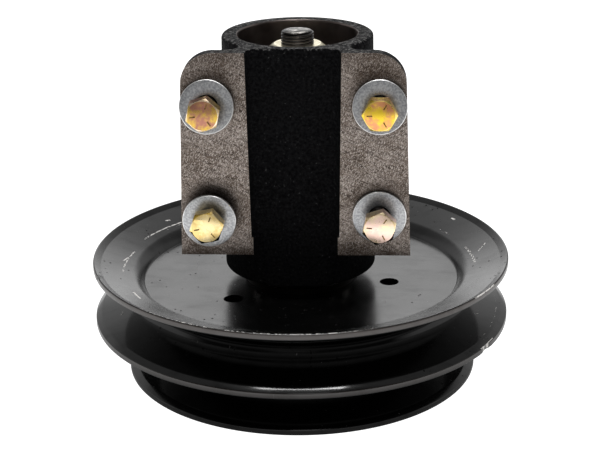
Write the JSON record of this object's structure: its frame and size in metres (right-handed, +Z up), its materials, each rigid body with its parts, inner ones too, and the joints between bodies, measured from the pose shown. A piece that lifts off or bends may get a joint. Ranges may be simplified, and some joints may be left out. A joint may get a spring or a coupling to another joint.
{
  "type": "jackshaft assembly",
  "caption": "Cast housing with milled bolting pads that holds a keyed shaft on sealed ball bearings, with stacked pressed-steel V-belt pulleys on its hub.",
  "frame": {"origin": "on the shaft's axis, at the plane of the lower pulley's bottom rim", "axes": "+Z up along the shaft, -Y out of the milled pads"},
  "size_m": [0.2096, 0.2096, 0.1722],
  "materials": {
    "housing_paint": "black satin paint over a sand-cast skin, with bare milled pads",
    "pulley_paint": "gloss black enamel",
    "shaft_steel": "turned and oiled",
    "bearing_steel": "ground",
    "seal_rubber": "matt moulded",
    "yellow_zinc": "yellow zinc plate",
    "plain_zinc": "dull zinc plate",
    "hub_steel": "blackened"
  },
  "bodies": {
    "housing": {"housing": "housing_paint", "mount_bolts": "yellow_zinc", "mount_washers": "plain_zinc", "upper_bearing_outer_ring": "bearing_steel", "upper_bearing_top_seal": "seal_rubber", "upper_bearing_bottom_seal": "seal_rubber", "lower_bearing_outer_ring": "bearing_steel", "lower_bearing_top_seal": "seal_rubber", "lower_bearing_bottom_seal": "seal_rubber"},
    "upper_ball_cage": {"upper_bearing_balls": "bearing_steel", "upper_bearing_cage": "bearing_steel"},
    "lower_ball_cage": {"lower_bearing_balls": "bearing_steel", "lower_bearing_cage": "bearing_steel"},
    "rotor": {"shaft": "shaft_steel", "top_nut": "yellow_zinc", "nut_washer": "plain_zinc", "bearing_spacer": "shaft_steel", "clamp_washer": "hub_steel", "pulley_hub": "hub_steel", "drive_key": "shaft_steel", "upper_pulley_top_half": "pulley_paint", "upper_pulley_bottom_half": "pulley_paint", "lower_pulley_top_half": "pulley_paint", "lower_pulley_bottom_half": "pulley_paint", "foot_washer": "plain_zinc", "lock_washer": "plain_zinc", "foot_bolt": "yellow_zinc", "upper_bearing_inner_ring": "bearing_steel", "lower_bearing_inner_ring": "bearing_steel"}
  },
  "joints": [
    {"name": "shaft_spin", "type": "hinge", "parent": "housing", "child": "rotor", "pos_m": [0, 0, 0.1024], "axis": [0, 0, 1], "continuous": true},
    {"name": "upper_cage_spin", "type": "hinge", "parent": "housing", "child": "upper_ball_cage", "pos_m": [0, 0, 0.1414], "axis": [0, 0, 1], "continuous": true},
    {"name": "lower_cage_spin", "type": "hinge", "parent": "housing", "child": "lower_ball_cage", "pos_m": [0, 0, 0.0635], "axis": [0, 0, 1], "continuous": true}
  ],
  "couplings": [
    {"joint": "upper_cage_spin", "follows": "shaft_spin", "ratio": 0.39696},
    {"joint": "lower_cage_spin", "follows": "shaft_spin", "ratio": 0.39696}
  ]
}
